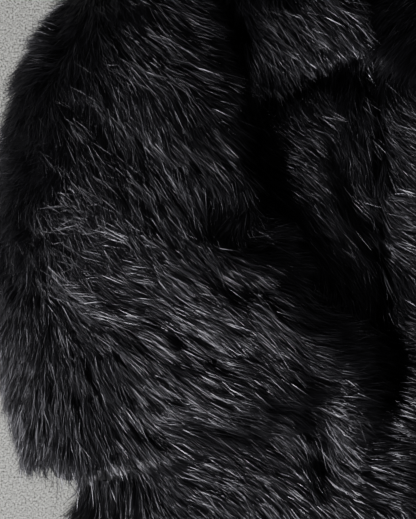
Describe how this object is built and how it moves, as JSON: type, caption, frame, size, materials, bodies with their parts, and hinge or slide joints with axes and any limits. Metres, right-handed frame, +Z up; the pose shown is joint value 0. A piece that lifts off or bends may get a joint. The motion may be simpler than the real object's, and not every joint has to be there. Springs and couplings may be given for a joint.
{
  "type": "faux fur jacket",
  "caption": "Long-pile black faux fur jacket laid flat on its back, one sleeve folded across the front, turned-down collar",
  "frame": {"origin": "centre of the laid-out jacket's bounding box, on the surface that it lies on", "axes": "+Z up out of the surface, +Y towards the collar, +X towards the wearer's left sleeve"},
  "size_m": [1.0492, 0.697, 0.0928],
  "materials": {
    "fur": "long black pile with a soft grey sheen along the hairs"
  },
  "bodies": {
    "root": {"back": "fur", "front_right": "fur", "front_left": "fur", "collar": "fur", "sleeve_right": "fur", "sleeve_left": "fur"}
  },
  "joints": []
}
